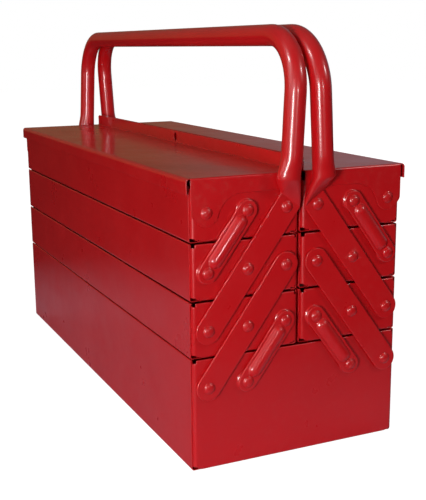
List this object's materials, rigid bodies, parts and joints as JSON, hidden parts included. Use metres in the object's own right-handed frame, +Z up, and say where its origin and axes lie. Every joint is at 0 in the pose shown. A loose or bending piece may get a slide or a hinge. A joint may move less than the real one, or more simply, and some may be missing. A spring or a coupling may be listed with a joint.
{
  "type": "cantilever toolbox",
  "caption": "Folded steel cantilever toolbox: stacked trays swing out over a deep base on riveted links, under hinged lids and tube handles.",
  "frame": {"origin": "centre of the underside of the base", "axes": "+X along the box towards its front end panel, +Y across it towards the right stack of trays, +Z up"},
  "size_m": [0.5366, 0.1968, 0.3475],
  "materials": {
    "panel_enamel": "gloss enamel on pressed steel sheet",
    "lid_enamel": "gloss enamel on pressed steel sheet",
    "link_enamel": "gloss enamel on steel strip",
    "handle_enamel": "gloss enamel on steel tube",
    "rivet_enamel": "gloss enamel over steel rivets"
  },
  "bodies": {
    "base": {"base_pan": "panel_enamel", "base_front_end": "panel_enamel", "base_rear_end": "panel_enamel", "base_rivets": "rivet_enamel"},
    "left_lower_tray": {"left_lower_pan": "panel_enamel", "left_lower_front_end": "panel_enamel", "left_lower_rear_end": "panel_enamel", "left_lower_rivets": "rivet_enamel"},
    "left_middle_tray": {"left_middle_pan": "panel_enamel", "left_middle_front_end": "panel_enamel", "left_middle_rear_end": "panel_enamel", "left_middle_rivets": "rivet_enamel"},
    "left_upper_tray": {"left_upper_pan": "panel_enamel", "left_upper_front_end": "panel_enamel", "left_upper_rear_end": "panel_enamel", "left_upper_rivets": "rivet_enamel"},
    "left_lid": {"left_lid": "lid_enamel"},
    "left_handle": {"left_handle": "handle_enamel"},
    "left_long_link_front": {"left_long_link_front": "link_enamel"},
    "left_low_link_front": {"left_low_link_front": "link_enamel"},
    "left_high_link_front": {"left_high_link_front": "link_enamel"},
    "left_long_link_rear": {"left_long_link_rear": "link_enamel"},
    "left_low_link_rear": {"left_low_link_rear": "link_enamel"},
    "left_high_link_rear": {"left_high_link_rear": "link_enamel"},
    "right_lower_tray": {"right_lower_pan": "panel_enamel", "right_lower_front_end": "panel_enamel", "right_lower_rear_end": "panel_enamel", "right_lower_rivets": "rivet_enamel"},
    "right_middle_tray": {"right_middle_pan": "panel_enamel", "right_middle_front_end": "panel_enamel", "right_middle_rear_end": "panel_enamel", "right_middle_rivets": "rivet_enamel"},
    "right_upper_tray": {"right_upper_pan": "panel_enamel", "right_upper_front_end": "panel_enamel", "right_upper_rear_end": "panel_enamel", "right_upper_rivets": "rivet_enamel"},
    "right_lid": {"right_lid": "lid_enamel"},
    "right_handle": {"right_handle": "handle_enamel"},
    "right_long_link_front": {"right_long_link_front": "link_enamel"},
    "right_low_link_front": {"right_low_link_front": "link_enamel"},
    "right_high_link_front": {"right_high_link_front": "link_enamel"},
    "right_long_link_rear": {"right_long_link_rear": "link_enamel"},
    "right_low_link_rear": {"right_low_link_rear": "link_enamel"},
    "right_high_link_rear": {"right_high_link_rear": "link_enamel"}
  },
  "joints": [
    {"name": "left_open", "type": "hinge", "parent": "base", "child": "left_long_link_front", "pos_m": [0, -0.082, 0.0697], "axis": [1, 0, 0], "range_deg": [0, 62]},
    {"name": "left_long_link_rear_turn", "type": "hinge", "parent": "base", "child": "left_long_link_rear", "pos_m": [0, -0.082, 0.0697], "axis": [1, 0, 0], "range_deg": [0, 62]},
    {"name": "left_low_link_front_turn", "type": "hinge", "parent": "base", "child": "left_low_link_front", "pos_m": [0, -0.048, 0.0697], "axis": [1, 0, 0], "range_deg": [0, 62]},
    {"name": "left_low_link_rear_turn", "type": "hinge", "parent": "base", "child": "left_low_link_rear", "pos_m": [0, -0.048, 0.0697], "axis": [1, 0, 0], "range_deg": [0, 62]},
    {"name": "left_lower_tray_turn", "type": "hinge", "parent": "left_long_link_front", "child": "left_lower_tray", "pos_m": [0, -0.048, 0.1159], "axis": [1, 0, 0], "range_deg": [-62, 0]},
    {"name": "left_middle_tray_turn", "type": "hinge", "parent": "left_long_link_front", "child": "left_middle_tray", "pos_m": [0, -0.014, 0.1621], "axis": [1, 0, 0], "range_deg": [-62, 0]},
    {"name": "left_handle_turn", "type": "hinge", "parent": "left_lower_tray", "child": "left_handle", "pos_m": [0, -0.082, 0.1159], "axis": [1, 0, 0], "range_deg": [0, 62]},
    {"name": "left_upper_tray_turn", "type": "hinge", "parent": "left_handle", "child": "left_upper_tray", "pos_m": [0, -0.014, 0.2083], "axis": [1, 0, 0], "range_deg": [-62, 0]},
    {"name": "left_high_link_front_turn", "type": "hinge", "parent": "left_middle_tray", "child": "left_high_link_front", "pos_m": [0, -0.082, 0.1621], "axis": [1, 0, 0], "range_deg": [0, 62]},
    {"name": "left_high_link_rear_turn", "type": "hinge", "parent": "left_middle_tray", "child": "left_high_link_rear", "pos_m": [0, -0.082, 0.1621], "axis": [1, 0, 0], "range_deg": [0, 62]},
    {"name": "left_lid_open", "type": "hinge", "parent": "left_upper_tray", "child": "left_lid", "pos_m": [0, -0.082, 0.2083], "axis": [1, 0, 0], "range_deg": [0, 65]},
    {"name": "right_open", "type": "hinge", "parent": "base", "child": "right_long_link_front", "pos_m": [0, 0.082, 0.0697], "axis": [-1, 0, 0], "range_deg": [0, 62]},
    {"name": "right_long_link_rear_turn", "type": "hinge", "parent": "base", "child": "right_long_link_rear", "pos_m": [0, 0.082, 0.0697], "axis": [-1, 0, 0], "range_deg": [0, 62]},
    {"name": "right_low_link_front_turn", "type": "hinge", "parent": "base", "child": "right_low_link_front", "pos_m": [0, 0.048, 0.0697], "axis": [-1, 0, 0], "range_deg": [0, 62]},
    {"name": "right_low_link_rear_turn", "type": "hinge", "parent": "base", "child": "right_low_link_rear", "pos_m": [0, 0.048, 0.0697], "axis": [-1, 0, 0], "range_deg": [0, 62]},
    {"name": "right_lower_tray_turn", "type": "hinge", "parent": "right_long_link_front", "child": "right_lower_tray", "pos_m": [0, 0.048, 0.1159], "axis": [-1, 0, 0], "range_deg": [-62, 0]},
    {"name": "right_middle_tray_turn", "type": "hinge", "parent": "right_long_link_front", "child": "right_middle_tray", "pos_m": [0, 0.014, 0.1621], "axis": [-1, 0, 0], "range_deg": [-62, 0]},
    {"name": "right_handle_turn", "type": "hinge", "parent": "right_lower_tray", "child": "right_handle", "pos_m": [0, 0.082, 0.1159], "axis": [-1, 0, 0], "range_deg": [0, 62]},
    {"name": "right_upper_tray_turn", "type": "hinge", "parent": "right_handle", "child": "right_upper_tray", "pos_m": [0, 0.014, 0.2083], "axis": [-1, 0, 0], "range_deg": [-62, 0]},
    {"name": "right_high_link_front_turn", "type": "hinge", "parent": "right_middle_tray", "child": "right_high_link_front", "pos_m": [0, 0.082, 0.1621], "axis": [-1, 0, 0], "range_deg": [0, 62]},
    {"name": "right_high_link_rear_turn", "type": "hinge", "parent": "right_middle_tray", "child": "right_high_link_rear", "pos_m": [0, 0.082, 0.1621], "axis": [-1, 0, 0], "range_deg": [0, 62]},
    {"name": "right_lid_open", "type": "hinge", "parent": "right_upper_tray", "child": "right_lid", "pos_m": [0, 0.082, 0.2083], "axis": [-1, 0, 0], "range_deg": [0, 65]}
  ],
  "couplings": [
    {"joint": "left_long_link_rear_turn", "follows": "left_open", "ratio": 1},
    {"joint": "left_low_link_front_turn", "follows": "left_open", "ratio": 1},
    {"joint": "left_low_link_rear_turn", "follows": "left_open", "ratio": 1},
    {"joint": "left_lower_tray_turn", "follows": "left_open", "ratio": -1},
    {"joint": "left_middle_tray_turn", "follows": "left_open", "ratio": -1},
    {"joint": "left_handle_turn", "follows": "left_open", "ratio": 1},
    {"joint": "left_upper_tray_turn", "follows": "left_open", "ratio": -1},
    {"joint": "left_high_link_front_turn", "follows": "left_open", "ratio": 1},
    {"joint": "left_high_link_rear_turn", "follows": "left_open", "ratio": 1},
    {"joint": "right_long_link_rear_turn", "follows": "right_open", "ratio": 1},
    {"joint": "right_low_link_front_turn", "follows": "right_open", "ratio": 1},
    {"joint": "right_low_link_rear_turn", "follows": "right_open", "ratio": 1},
    {"joint": "right_lower_tray_turn", "follows": "right_open", "ratio": -1},
    {"joint": "right_middle_tray_turn", "follows": "right_open", "ratio": -1},
    {"joint": "right_handle_turn", "follows": "right_open", "ratio": 1},
    {"joint": "right_upper_tray_turn", "follows": "right_open", "ratio": -1},
    {"joint": "right_high_link_front_turn", "follows": "right_open", "ratio": 1},
    {"joint": "right_high_link_rear_turn", "follows": "right_open", "ratio": 1}
  ]
}
